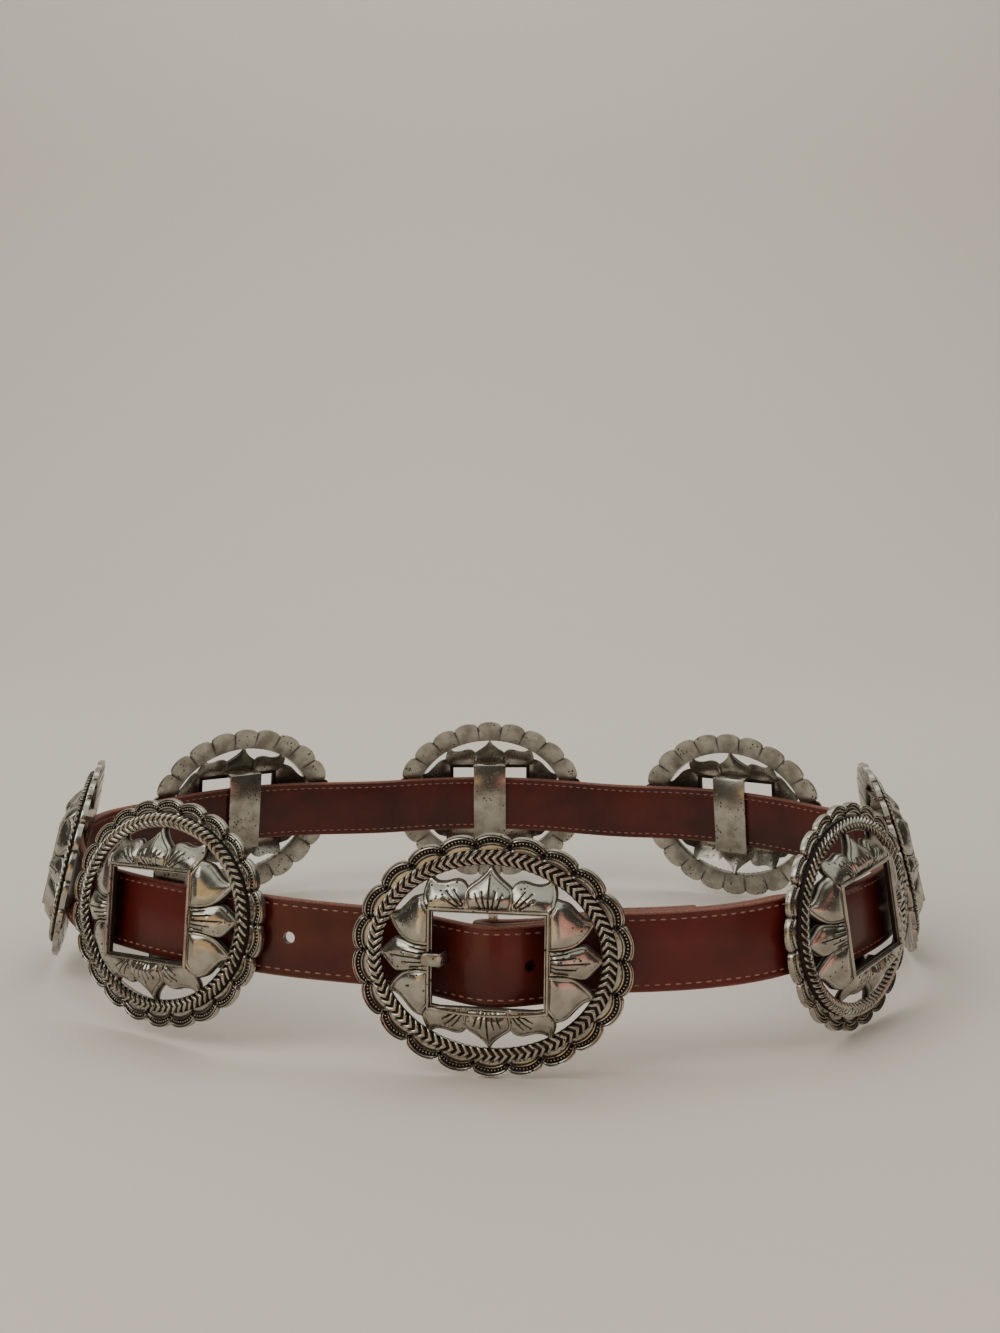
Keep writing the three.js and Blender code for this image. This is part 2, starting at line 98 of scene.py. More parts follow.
# Shader maths: a wire is a socket that Python's operators work on
class Wire:
    def __init__(self, sheet, socket):
        self.sheet = sheet
        self.socket = socket

    def math(self, operation, *values):
        return self.sheet.node("Math", {"operation": operation}, dict(enumerate(values)))

    def __add__(self, other):
        return self.math("ADD", self, other)

    def __radd__(self, other):
        return self.math("ADD", other, self)

    def __sub__(self, other):
        return self.math("SUBTRACT", self, other)

    def __rsub__(self, other):
        return self.math("SUBTRACT", other, self)

    def __mul__(self, other):
        return self.math("MULTIPLY", self, other)

    def __rmul__(self, other):
        return self.math("MULTIPLY", other, self)

    def __abs__(self):
        return self.math("ABSOLUTE", self)

    def between(self, low, high):  # 0 below low, 1 above high, smooth between
        values = {"Value": self, "From Min": low, "From Max": high}
        return self.sheet.node("MapRange", {"interpolation_type": "SMOOTHSTEP"}, values)


class Sheet:
    def __init__(self, name):
        self.material = bpy.data.materials.new(name)
        self.material.use_nodes = True
        self.tree = self.material.node_tree
        self.surface = self.tree.nodes["Principled BSDF"]

    def node(self, kind, settings=None, values=None, output=0):
        made = self.tree.nodes.new("ShaderNode" + kind)
        for key, value in (settings or {}).items():
            setattr(made, key, value)
        for key, value in (values or {}).items():
            self.put(made.inputs[key], value)
        return Wire(self, made.outputs[output])

    def put(self, socket, value):
        if isinstance(value, Wire):
            self.tree.links.new(value.socket, socket)
        else:
            socket.default_value = value

    def surfaceValues(self, **values):
        for key, value in values.items():
            self.put(self.surface.inputs[key.replace("_", " ")], value)

    def blendColors(self, factor, low, high):
        made = self.tree.nodes.new("ShaderNodeMix")
        made.data_type = "RGBA"
        for index, value in ((0, factor), (6, low), (7, high)):
            self.put(made.inputs[index], value)
        return Wire(self, made.outputs[2])

    def noise(self, where, scale, detail=3, roughness=0.55):
        return self.node("TexNoise", None, {
            "Vector": where, "Scale": scale, "Detail": detail, "Roughness": roughness,
        })

    def objectPlace(self):
        return self.node("TexCoord", output="Object")


def color(red, green, blue):
    return (red, green, blue, 1)


# The near-black tone is antiqued patina together with painted shade; the 'dark' attribute paints it into
# recesses, walls and undersides
silverLook = {
    "bright": color(0.42, 0.40, 0.345), "dull": color(0.29, 0.265, 0.22), "mix": (0.35, 0.7),
    "patinaAndShade": color(0.020, 0.013, 0.009), "stainAndShade": (0.18, 0.85), "cloudiness": 0.35,
    "roughness": 0.23, "darkRoughness": 0.6, "fineRoughness": 0.12, "lostMetal": 0.55,
    "cloudScale": 180, "fineScale": 900, "pitScale": 620, "pitZoneScale": 110,
    "pitSize": (0.15, 0.29), "pitZone": (0.46, 0.57), "bump": 0.35, "bumpDistance": 0.00025,
}


def silverFinish():
    look = silverLook
    sheet = Sheet("antiqued_silver")
    where = sheet.objectPlace()
    dark = sheet.node("Attribute", {"attribute_name": "dark"}, output="Fac")
    clouds = sheet.noise(where, look["cloudScale"], 4)
    fine = sheet.noise(where, look["fineScale"], 3)
    pits = sheet.node("TexVoronoi", None, {"Vector": where, "Scale": look["pitScale"]})
    pitZone = sheet.noise(where, look["pitZoneScale"], 2).between(*look["pitZone"])
    pit = (1 - pits.between(*look["pitSize"])) * pitZone
    # Painted shade and patina: the 'dark' attribute pulls the colour towards the near-black tone and makes it
    # rougher and less metallic
    stainAndShade = (dark + (clouds - 0.5) * look["cloudiness"]).between(*look["stainAndShade"])
    soilAndShade = stainAndShade.math("MAXIMUM", stainAndShade, pit)
    metal = sheet.blendColors(clouds.between(*look["mix"]), look["bright"], look["dull"])
    tint = sheet.blendColors(soilAndShade, metal, look["patinaAndShade"])
    rough = look["roughness"] + soilAndShade * (look["darkRoughness"] - look["roughness"])
    rough = rough + (fine - 0.5) * look["fineRoughness"]
    height = fine * 0.25 + clouds * 0.4 - pit * 1.2
    relief = {"Strength": look["bump"], "Distance": look["bumpDistance"], "Height": height}
    bump = sheet.node("Bump", None, relief, "Normal")
    sheet.surfaceValues(Base_Color=tint, Metallic=1 - soilAndShade * look["lostMetal"], Roughness=rough, Normal=bump)
    return sheet.material


leatherLook = {
    "face": color(0.098, 0.0085, 0.0045), "deep": color(0.043, 0.0035, 0.002), "mix": (0.3, 0.7),
    "edge": color(0.34, 0.16, 0.11), "wornFrom": 0.9, "wornTo": 0.1, "scuff": 0.55, "scuffGrain": 1.6,
    "roughness": 0.36, "cloudRoughness": 0.12, "wornRoughness": 0.2,
    "coat": 0.22, "wornCoat": 0.02, "coatRoughness": 0.16, "specular": 0.3,
    "cloudScale": 38, "grainScale": 1500, "cellScale": 1100, "cellEdge": (0, 0.12),
    "bump": 0.22, "bumpDistance": 0.00012,
}


def leatherFinish():
    look = leatherLook
    sheet = Sheet("stitched_leather")
    where = sheet.objectPlace()
    onStrap = sheet.node("UVMap", {"uv_map": "strap"})
    across = abs(sheet.node("SeparateXYZ", None, {"Vector": onStrap}, "Y"))
    halfWidth = leather["width"] / 2
    worn = across.between((halfWidth - look["wornFrom"]) * mm, (halfWidth - look["wornTo"]) * mm)
    clouds = sheet.noise(where, look["cloudScale"], 4)
    grain = sheet.noise(where, look["grainScale"], 3, 0.6)
    cellValues = {"Vector": where, "Scale": look["cellScale"]}
    cells = sheet.node("TexVoronoi", {"feature": "DISTANCE_TO_EDGE"}, cellValues)
    face = sheet.blendColors(clouds.between(*look["mix"]), look["face"], look["deep"])
    scuffed = worn * (look["scuff"] + (grain - 0.5) * look["scuffGrain"])
    tint = sheet.blendColors(scuffed, face, look["edge"])
    height = grain * 0.5 + cells.between(*look["cellEdge"]) * 0.5
    relief = {"Strength": look["bump"], "Distance": look["bumpDistance"], "Height": height}
    bump = sheet.node("Bump", None, relief, "Normal")
    rough = look["roughness"] + clouds * look["cloudRoughness"] + worn * look["wornRoughness"]
    coat = look["coat"] - worn * (look["coat"] - look["wornCoat"])
    sheet.surfaceValues(Base_Color=tint, Roughness=rough, Coat_Weight=coat, Normal=bump)
    sheet.surfaceValues(Coat_Roughness=look["coatRoughness"], Specular_IOR_Level=look["specular"])
    return sheet.material


threadLook = {
    "dark": color(0.22, 0.095, 0.07), "light": color(0.42, 0.22, 0.165), "roughness": 0.65,
    "fibreScale": 2600, "bump": 0.4, "bumpDistance": 0.0001,
}


def threadFinish():
    look = threadLook
    sheet = Sheet("waxed_thread")
    fibres = sheet.noise(sheet.objectPlace(), look["fibreScale"], 2)
    tint = sheet.blendColors(fibres, look["dark"], look["light"])
    relief = {"Strength": look["bump"], "Distance": look["bumpDistance"], "Height": fibres}
    bump = sheet.node("Bump", None, relief, "Normal")
    sheet.surfaceValues(Base_Color=tint, Roughness=look["roughness"], Normal=bump)
    return sheet.material


finishes = {"silver": silverFinish(), "leather": leatherFinish(), "thread": threadFinish()}
print("materials ready")


# Camera, floor and lights
view = {"place": (0.006, -0.545, 0.1242), "lens": 40.51, "sensor": 36, "downDegrees": 5.5}
floorLook = {
    "below": 0.0006, "halfWidth": 3, "front": -2.2, "back": 1.1, "bend": 0.7, "bendSteps": 16, "top": 2.2,
    "tint": color(0.80, 0.735, 0.66), "roughness": 0.85,
}
lightColumns = ("name", "place", "target", "size", "power", "tint")
lightRows = [
    ("window_light", (-1.0, -0.8, 1.1), (0, 0, 0), 1.0, 8, (1.0, 0.98, 0.93)),
    ("top_light", (0, 0.3, 2.2), (0, 0.3, 0), 5, 62, (0.98, 1.0, 0.94)),
    ("wall_light", (0, 0.7, 1.7), (0, 1.8, 0.6), 1.6, 10, (1.0, 0.98, 0.95)),
    ("amber_card", (-0.24, -0.46, 0.0), (0, -0.1, -0.01), 0.3, 0.3, (1.0, 0.66, 0.32)),
    ("rose_card", (0.24, -0.46, 0.0), (0, -0.1, -0.01), 0.3, 0.3, (1.0, 0.45, 0.36)),
]
worldLook = {"tint": color(0.22, 0.21, 0.185), "strength": 0.35}


def addCamera():
    data = bpy.data.cameras.new("camera")
    data.lens = view["lens"]
    data.sensor_width = view["sensor"]
    camera = bpy.data.objects.new("camera", data)
    camera.location = view["place"]
    camera.rotation_euler = (math.radians(90 - view["downDegrees"]), 0, 0)
    bpy.context.scene.collection.objects.link(camera)
    bpy.context.scene.camera = camera


def addFloor():  # a sheet that lies flat under the belt and curves up behind it
    half = floorLook["halfWidth"]
    low = cadBox[0][2] - floorLook["below"]
    bend = floorLook["bend"]
    back = floorLook["back"]
    steps = floorLook["bendSteps"]
    turns = [math.pi / 2 * i / steps for i in range(steps + 1)]
    profile = [(floorLook["front"], low)]
    profile += [(back + bend * math.sin(turn), low + bend * (1 - math.cos(turn))) for turn in turns]
    profile.append((back + bend, floorLook["top"]))
    points = [(side * half, y, z) for y, z in profile for side in (-1, 1)]
    mesh = bpy.data.meshes.new("floor")
    mesh.from_pydata(points, [], [(2 * i, 2 * i + 1, 2 * i + 3, 2 * i + 2) for i in range(len(profile) - 1)])
    mesh.shade_smooth()
    sheet = Sheet("pale_floor")
    sheet.surfaceValues(Base_Color=floorLook["tint"], Roughness=floorLook["roughness"])
    mesh.materials.append(sheet.material)
    floor = bpy.data.objects.new("floor", mesh)
    bpy.context.scene.collection.objects.link(floor)


def addAreaLight(name, place, target, size, power, tint):
    data = bpy.data.lights.new(name, "AREA")
    data.size = size
    data.energy = power
    data.color = tint
    light = bpy.data.objects.new(name, data)
    light.location = place
    light.visible_camera = False
    light.rotation_euler = (Vector(target) - Vector(place)).to_track_quat("-Z", "Y").to_euler()
    bpy.context.scene.collection.objects.link(light)


def addLights():
    for row in lightRows:
        addAreaLight(**dict(zip(lightColumns, row)))
    world = bpy.data.worlds.new("studio")
    world.use_nodes = True
    background = world.node_tree.nodes["Background"]
    background.inputs["Color"].default_value = worldLook["tint"]
    background.inputs["Strength"].default_value = worldLook["strength"]
    bpy.context.scene.world = world


addCamera()
addFloor()
addLights()
print("stage ready")


# A casting grows as closed shells in its own millimetres, each with how dark its recesses are: patina
# together with painted shade
class Shells:
    def __init__(self):
        self.points = []
        self.faces = []
        self.dark = []

    def add(self, points, faces, dark):
        start = len(self.points)
        self.points.extend(points)
        self.faces.extend([tuple(start + i for i in face) for face in faces])
        self.dark.extend(dark)

    def addMesh(self, mesh):
        points = [tuple(vertex.co / mm) for vertex in mesh.vertices]
        self.add(points, [tuple(face.vertices) for face in mesh.polygons], [0.0] * len(points))

    def toMesh(self, name):
        mesh = bpy.data.meshes.new(name)
        mesh.from_pydata(self.points, [], self.faces)
        mesh.attributes.new("dark", "FLOAT", "POINT").data.foreach_set("value", self.dark)
        mesh.shade_smooth()
        mesh.set_sharp_from_angle(angle=math.radians(48))
        return mesh


def gridFaces(rows, columns):  # closed both ways, rows run round the section
    faces = []
    for column in range(columns):
        for row in range(rows):
            nextRow = (row + 1) % rows
            nextColumn = (column + 1) % columns
            faces.append((
                column * rows + row, nextColumn * rows + row,
                nextColumn * rows + nextRow, column * rows + nextRow,
            ))
    return faces


def tubeFaces(levels, count):  # sections of one count, joined each to the next and closed at both ends
    faces = []
    for level in range(levels - 1):
        for i in range(count):
            here = level * count + i
            beside = level * count + (i + 1) % count
            faces.append((here, beside, beside + count, here + count))
    end = (levels - 1) * count
    return faces + [tuple(reversed(range(count))), tuple(end + i for i in range(count))]


def blend(low, high, part):
    return low + (high - low) * part


# Scalloped rim and rope ring
rim = {
    "lobes": 22, "tip": (41.5, 35.35), "notch": (39.5, 33.2), "foot": (36.1, 30.3), "columns": 20,
    "gather": 0.8, "valleyFrom": 0.78, "valleyDepth": 0.75, "valleyDark": 0.6,
}
ring = {"foot": (36.1, 30.3), "lip": (31.9, 26.4), "back": (32.4, 26.9), "backZ": 1.1, "backDark": 0.5}
beads = {
    "at": 0.66, "z": 0.95, "pitch": 0.92, "long": 0.46, "wide": 0.36, "tall": 0.6, "sunk": 0.1, "reach": 0.84,
}
# Rows of the rim: part of the way from the ring's foot to the scalloped edge, z and darkness (patina with
# painted shade in the grooves)
rimRows = [
    (1.0, 0.0, 0.2), (1.0, 0.8, 0), (0.99, 1.5, 0), (0.96, 1.8, 0), (0.92, 1.7, 0), (0.905, 1.25, 0.9),
    (0.89, 1.25, 0.9), (0.875, 1.7, 0), (0.835, 1.8, 0), (0.80, 1.7, 0), (0.78, 1.0, 0.9), (0.66, 1.0, 0.9),
    (0.54, 0.9, 0.9), (0.52, 1.7, 0), (0.475, 2.0, 0), (0.42, 1.9, 0), (0.385, 1.4, 0.6), (0.30, 1.2, 0.3),
    (0.18, 1.35, 0.15), (0.08, 1.4, 0.4), (0.03, 1.1, 1),
]
# Rows of the ring: part of the way from its foot to its inner lip, z and darkness (patina with painted shade
# under the chevrons)
ringRows = [
    (0.02, 1.6, 1), (0.10, 2.3, 1), (0.24, 3.1, 1), (0.46, 3.6, 1), (0.66, 3.3, 1), (0.80, 2.75, 1),
    (0.87, 2.7, 0.9), (0.91, 3.2, 0.2), (0.95, 3.35, 0), (1.0, 3.0, 0.1),
]


def evenAngles():
    turn = np.linspace(0, 2 * math.pi, 4001)
    x = rim["tip"][0] * np.cos(turn)
    y = rim["tip"][1] * np.sin(turn)
    lengths = np.concatenate([[0], np.cumsum(np.hypot(np.diff(x), np.diff(y)))])
    return lambda share: float(np.interp((share % 1) * lengths[-1], lengths, turn))


angleAt = evenAngles()


def onEllipse(size, angle, z):
    return (size[0] * math.cos(angle), size[1] * math.sin(angle), z)


def rimPoint(share, across, part, z):
    bulge = math.sqrt(max(0.0, 1 - across * across))
    edge = [blend(notch, tip, bulge) for notch, tip in zip(rim["notch"], rim["tip"])]
    gathered = part * (1 - rim["gather"] * (1 - part) * across * across)  # lines meet towards the notch
    size = [blend(foot, outer, gathered) for foot, outer in zip(rim["foot"], edge)]
    return onEllipse(size, angleAt(share), z)


def addBand(shells):
    total = rim["lobes"] * rim["columns"]
    points = []
    dark = []
    for column in range(total):
        share = column / total
        across = 2 * (column % rim["columns"]) / rim["columns"] - 1
        # the valleys between the lobes take painted shade together with their patina
        valley = max(0.0, (abs(across) - rim["valleyFrom"]) / (1 - rim["valleyFrom"])) ** 2
        for part, z, soilAndShade in rimRows:
            depth = rim["valleyDepth"] * valley * min(1.0, 4 * (1 - part) + 0.35) if z > 0 else 0
            points.append(rimPoint(share, across, part, max(z - depth, 0)))
            dark.append(min(1.0, soilAndShade + rim["valleyDark"] * valley))
        for part, z, soilAndShade in ringRows:
            size = [blend(foot, lip, part) for foot, lip in zip(ring["foot"], ring["lip"])]
            points.append(onEllipse(size, angleAt(share), z))
            dark.append(soilAndShade)
        # the ring's back edge is painted darker as shade
        points.append(onEllipse(ring["back"], angleAt(share), ring["backZ"]))
        dark.append(ring["backDark"])
    rows = len(rimRows) + len(ringRows) + 1
    shells.add(points, gridFaces(rows, total), dark)


# Geometry Nodes: an object repeated along every line of a path mesh, facing out along its 'out' attribute
repeatInputs = {"Geometry": "Geometry", "Piece": "Object", "Pitch": "Float", "Finish": "Material"}


def repeatTree():
    tree = bpy.data.node_groups.new("repeat_along_path", "GeometryNodeTree")
    sockets = tree.interface
    for name, kind in repeatInputs.items():
        sockets.new_socket(name, in_out="INPUT", socket_type="NodeSocket" + kind)
    sockets.new_socket("Geometry", in_out="OUTPUT", socket_type="NodeSocketGeometry")
    nodes = tree.nodes
    links = tree.links
    given = nodes.new("NodeGroupInput")
    made = nodes.new("NodeGroupOutput")
    curve = nodes.new("GeometryNodeMeshToCurve")
    spaced = nodes.new("GeometryNodeResampleCurve")
    spaced.mode = "LENGTH"
    piece = nodes.new("GeometryNodeObjectInfo")
    along = nodes.new("GeometryNodeInputTangent")
    out = nodes.new("GeometryNodeInputNamedAttribute")
    out.data_type = "FLOAT_VECTOR"
    out.inputs["Name"].default_value = "out"
    aim = nodes.new("FunctionNodeAlignRotationToVector")
    aim.axis = "X"
    face = nodes.new("FunctionNodeAlignRotationToVector")
    face.axis = "Z"
    face.pivot_axis = "X"
    copies = nodes.new("GeometryNodeInstanceOnPoints")
    solid = nodes.new("GeometryNodeRealizeInstances")
    finish = nodes.new("GeometryNodeSetMaterial")
    links.new(given.outputs["Geometry"], curve.inputs["Mesh"])
    links.new(curve.outputs["Curve"], spaced.inputs["Curve"])
    links.new(given.outputs["Pitch"], spaced.inputs["Length"])
    links.new(given.outputs["Piece"], piece.inputs["Object"])
    links.new(along.outputs["Tangent"], aim.inputs["Vector"])
    links.new(aim.outputs["Rotation"], face.inputs["Rotation"])
    links.new(out.outputs["Attribute"], face.inputs["Vector"])
    links.new(spaced.outputs["Curve"], copies.inputs["Points"])
    links.new(piece.outputs["Geometry"], copies.inputs["Instance"])
    links.new(face.outputs["Rotation"], copies.inputs["Rotation"])
    links.new(copies.outputs["Instances"], solid.inputs["Geometry"])
    links.new(solid.outputs["Geometry"], finish.inputs["Geometry"])
    links.new(given.outputs["Finish"], finish.inputs["Material"])
    links.new(finish.outputs["Geometry"], made.inputs["Geometry"])
    return tree


repeatAlong = repeatTree()


def meshFrom(name, points, faces):
    mesh = bpy.data.meshes.new(name)
    mesh.from_pydata([Vector(point) * mm for point in points], [], faces)
    mesh.shade_smooth()
    return mesh


def repeated(name, piece, lines, pitch, finish):
    points = [point for line in lines for point, _ in line]
    outs = [tuple(out) for line in lines for _, out in line]
    edges = []
    start = 0
    for line in lines:
        edges.extend((start + i, start + i + 1) for i in range(len(line) - 1))
        start += len(line)
    path = bpy.data.meshes.new(name)
    path.from_pydata([Vector(point) * mm for point in points], edges, [])
    outward = path.attributes.new("out", "FLOAT_VECTOR", "POINT")
    outward.data.foreach_set("vector", np.array(outs, dtype=float).ravel())
    guide = bpy.data.objects.new(name + "_path", path)
    sample = bpy.data.objects.new(name + "_piece", piece)
    bpy.context.scene.collection.objects.link(guide)
    bpy.context.scene.collection.objects.link(sample)
    modifier = guide.modifiers.new("repeat", "NODES")
    modifier.node_group = repeatAlong
    keys = {item.name: item.identifier for item in repeatAlong.interface.items_tree if item.in_out == "INPUT"}
    modifier[keys["Piece"]] = sample
    modifier[keys["Pitch"]] = pitch * mm
    modifier[keys["Finish"]] = finish
    guide.data.update()
    depsgraph = bpy.context.evaluated_depsgraph_get()
    result = bpy.data.meshes.new_from_object(guide.evaluated_get(depsgraph), depsgraph=depsgraph)
    bpy.data.objects.remove(guide)
    bpy.data.objects.remove(sample)
    return result


chevron = {
    "count": 88, "halfWidth": 1.95, "sweep": 2.0, "width": 0.74, "height": 0.62, "root": 1.75, "rise": 1.95,
    "turnDegrees": 56, "middle": 0.44, "lineSteps": 352, "steps": 10,
    "endSize": 0.7, "pointHeight": 0.75, "pointReach": 0.25,
}
chevronBar = [(-1, -0.35), (-0.82, 0.45), (-0.35, 0.9), (0.3, 1.0), (0.8, 0.6), (1, -0.35)]  # along and lift


def chevronPiece():  # two leaf-shaped arms that lean forward to a point over the half-round ring
    steps = chevron["steps"]
    turn = math.radians(chevron["turnDegrees"])
    points = []
    for step in range(steps + 1):
        across = 2 * step / steps - 1
        slope = turn * across
        y = chevron["halfWidth"] * math.sin(slope) / math.sin(turn)
        z = chevron["root"] + chevron["rise"] * math.cos(slope)
        x = chevron["sweep"] * (0.5 - abs(across))
        full = blend(chevron["endSize"], 1, math.sqrt(max(0, 1 - across ** 6)))
        # the point of the arms is pressed in a little
        crown = blend(chevron["pointHeight"], 1, min(1, abs(across) / chevron["pointReach"]))
        normal = Vector((0, math.sin(slope), math.cos(slope))) * chevron["height"]
        for along, raised in chevronBar:
            shift = Vector((along * chevron["width"] * full, 0, 0))
            height = raised * full * crown if raised > 0 else raised
            points.append(Vector((x, y, z)) + shift + normal * height)
    faces = tubeFaces(steps + 1, len(chevronBar))
    return meshFrom("chevron", points, [face[:1] + face[:0:-1] for face in faces])


def chevronLine():
    middle = [blend(foot, lip, chevron["middle"]) for foot, lip in zip(ring["foot"], ring["lip"])]
    count = chevron["lineSteps"]
    return [(onEllipse(middle, angleAt(i / count), 0), (0, 0, 1)) for i in range(count + 1)]


def lineLength(line):
    return sum((Vector(b[0]) - Vector(a[0])).length for a, b in pairwise(line))


def beadPiece():
    segments = 8
    levels = (0.0, 0.5, 0.87)
    points = []
    for level in levels:
        size = math.sqrt(1 - level * level)
        for i in range(segments):
            angle = 2 * math.pi * i / segments
            x = beads["wide"] * size * math.cos(angle)
            y = beads["long"] * size * math.sin(angle)
            points.append((x, y, beads["tall"] * level))
    points += [(0, 0, beads["tall"]), (0, 0, -beads["sunk"])]
    faces = []
    for i in range(segments):
        beside = (i + 1) % segments
        for level in range(len(levels) - 1):
            low = level * segments
            faces.append((low + i, low + beside, low + segments + beside, low + segments + i))
        top = (len(levels) - 1) * segments
        faces.append((top + i, top + beside, len(points) - 2))
        faces.append((beside, i, len(points) - 1))
    return meshFrom("bead", points, faces)


def beadLines():
    lines = []
    steps = 14
    for lobe in range(rim["lobes"]):
        line = []
        for step in range(steps + 1):
            across = beads["reach"] * (2 * step / steps - 1)
            share = (lobe + 0.5 + across / 2) / rim["lobes"]
            line.append((rimPoint(share, across, beads["at"], beads["z"]), (0, 0, 1)))
        lines.append(line)
    return lines


# Petals: outlines in the upper right quarter, where a star marks a sharp corner
petals = [
    {
        "copies": ((1, 1), (1, -1)),
        "crown": 1.5, "reach": 4.5, "lift": 0.55, "border": 1,
        "outline": "-6.3,13.6* 6.3,13.6* 7.2,18 6.5,20.4 3.3,22.9 1.2,25 0,27.3*"
                   " -1.2,25 -3.3,22.9 -6.5,20.4 -7.2,18",
        "veins": "0,14.8>0,24 1,14.8>2,19.6 -1,14.8>-2,19.6 2.3,14.8>3.9,19 -2.3,14.8>-3.9,19",
    },
    {
        "copies": ((1, 1), (-1, 1), (1, -1), (-1, -1)),
        "crown": 1.0, "reach": 3.8, "lift": 0.12, "border": 0.5,
        "outline": "5.9,13.6* 16.8,13.6* 18.7,15.6 19.4,18 19,20.6 17.9,23.3*"
                   " 15.6,21.7 13,21.6 9.8,22.4 7.4,21.8 5.8,19.6*",
        "veins": "7.4,16>10.2,19.6 7.9,15.2>12.4,19.2 9.2,15>12.8,17.2",
    },
    {
        "copies": ((1, 1), (-1, 1), (1, -1), (-1, -1)),
        "crown": 1.0, "reach": 4.2, "lift": 0, "border": 0.7,
        "outline": "16.8,3.4* 21.5,3.6 25,4.6 28.2,7.6 30.8,11.4* 27.6,12"
                   " 25.3,13.9 22.6,16.6 19.2,17.9* 18.2,15.2 16.8,13.6*",
        "veins": "",
    },
    {
        "copies": ((1, 1), (-1, 1)),
        "crown": 1.3, "reach": 3.6, "lift": 0.35, "border": 0.5,
        "outline": "16.8,-3.8* 21,-3.6 24.6,-4.5 27.6,-4.8 30.2,-2.7 33,0*"
                   " 30.2,2.7 27.6,4.8 24.6,4.5 21,3.6 16.8,3.8*",
        "veins": "18,0>28.6,0 18,1.1>25,1.7 18,-1.1>25,-1.7 18,2.2>22.6,2.9 18,-2.2>22.6,-2.9",
    },
]
petalWork = {
    "spacing": 0.62, "edge": 0.4, "edgeDrop": 0.7, "edgeDark": 0.9, "swellOver": 3.2,
    "veinHalf": 0.34, "veinDepth": 0.45, "veinStep": 0.5, "backSwell": 0.7, "backDark": 0.35,
}
border = {"at": 0.95, "half": 0.32, "depth": 0.3, "dark": 0.7, "loops": (0.4, 0.65, 0.95, 1.25)}


def readOutline(text):
    return [
        (Vector([float(number) for number in word.rstrip("*").split(",")]), word.endswith("*"))
        for word in text.split()
    ]


def smoothOutline(text, spacing):
    anchors = readOutline(text)
    count = len(anchors)
    points = []
    for i, (here, sharp) in enumerate(anchors):
        after, afterSharp = anchors[(i + 1) % count]
        before = here if sharp else anchors[i - 1][0]
        beyond = after if afterSharp else anchors[(i + 2) % count][0]
        start = here + (after - before) / (3 if sharp else 6)
        end = after - (beyond - here) / (3 if afterSharp else 6)
        steps = max(2, round((after - here).length / spacing)) + 1
        points += [point.to_2d() for point in interpolate_bezier(here, start, end, after, steps)[:-1]]
    return np.array([tuple(point) for point in points])


def distancesTo(points, starts, ends):
    along = ends - starts
    offset = points[:, None, :] - starts[None]
    share = np.clip((offset * along).sum(2) / (along * along).sum(1), 0, 1)
    return np.linalg.norm(offset - share[..., None] * along, axis=2).min(1)


def domeHeights(points):
    x, y = points[:, 0], points[:, 1]
    fromFrame = np.maximum(0, np.maximum(abs(x) / window["outer"][0], abs(y) / window["outer"][1]) - 1)
    fromRing = np.maximum(0, 1 - np.hypot(x / ring["lip"][0], y / ring["lip"][1]))
    share = fromFrame / (fromFrame + dome["ringShare"] * fromRing + 1e-6)
    return dome["atRing"] + (dome["atFrame"] - dome["atRing"]) * (1 - share ** dome["roundness"])


def readVeins(text):
    ends = [[[float(n) for n in end.split(",")] for end in word.split(">")] for word in text.split()]
    return np.array(ends)


def petalGuides(outline, nextOutline, veins):  # points along the edge and along each vein and its two sides
    edgeNormal = (nextOutline - np.roll(outline, 1, axis=0)) @ np.array([[0, 1], [-1, 0]])
    edgeNormal /= np.linalg.norm(edgeNormal, axis=1)[:, None]
    guides = []
    for inset in border["loops"]:
        line = outline + edgeNormal * inset
        guides.append(line[distancesTo(line, outline, nextOutline) > 0.93 * inset])
    for start, end in veins:
        length = np.linalg.norm(end - start)
        along = (end - start) / length
        side = np.array([-along[1], along[0]]) * petalWork["veinHalf"]
        steps = np.linspace(0, 1, max(3, round(length / petalWork["veinStep"])))[:, None]
        middle = start + (end - start) * steps
        guides += [middle, middle[1:-1] + side, middle[1:-1] - side]
    return np.concatenate(guides)


def petalInside(outline, nextOutline, veins):  # the guides, and a grid of points where they leave room
    spacing = petalWork["spacing"]
    low, high = outline.min(0), outline.max(0)
    columns = np.arange(low[0], high[0], spacing)
    rows = np.arange(low[1], high[1], spacing * 0.87)
    grid = np.array([(x + spacing * 0.5 * (i % 2), y) for i, y in enumerate(rows) for x in columns])
    guides = petalGuides(outline, nextOutline, veins)
    farFromGuides = np.linalg.norm(grid[:, None] - guides[None], axis=2).min(1) > 0.6 * spacing
    free = np.concatenate([guides, grid[farFromGuides]])
    return free[distancesTo(free, outline, nextOutline) > 0.8 * petalWork["edge"]]


def petalRelief(petal, flat, fromEdge, veins):  # height of the front and the back, and how dark the front is: patina with painted shade at edges, border lines and veins
    bevel = np.clip(1 - fromEdge / petalWork["edge"], 0, 1)
    puff = petal["crown"] * np.sin(np.pi / 2 * np.clip(fromEdge / petal["reach"], 0, 1))
    line = np.clip(1 - abs(fromEdge - border["at"]) / border["half"], 0, 1) * petal["border"]
    fromBar = np.maximum(abs(flat[:, 0]) - window["bar"][0], abs(flat[:, 1]) - window["bar"][1])
    swell = np.sin(np.pi / 2 * np.clip(fromBar / petalWork["swellOver"], 0, 1))
    height = domeHeights(flat) + swell * (petal["lift"] + puff)
    height -= petalWork["edgeDrop"] * bevel ** 2 + border["depth"] * line
    dark = np.maximum(petalWork["edgeDark"] * bevel ** 3, border["dark"] * line)
    if len(veins):
        cutIn = np.clip(1 - distancesTo(flat, veins[:, 0], veins[:, 1]) / petalWork["veinHalf"], 0, 1)
        height -= petalWork["veinDepth"] * cutIn
        dark = np.maximum(dark, cutIn)
    back = domeHeights(flat) + petalWork["backSwell"] * swell * puff - dome["wall"]
    return height, back, dark


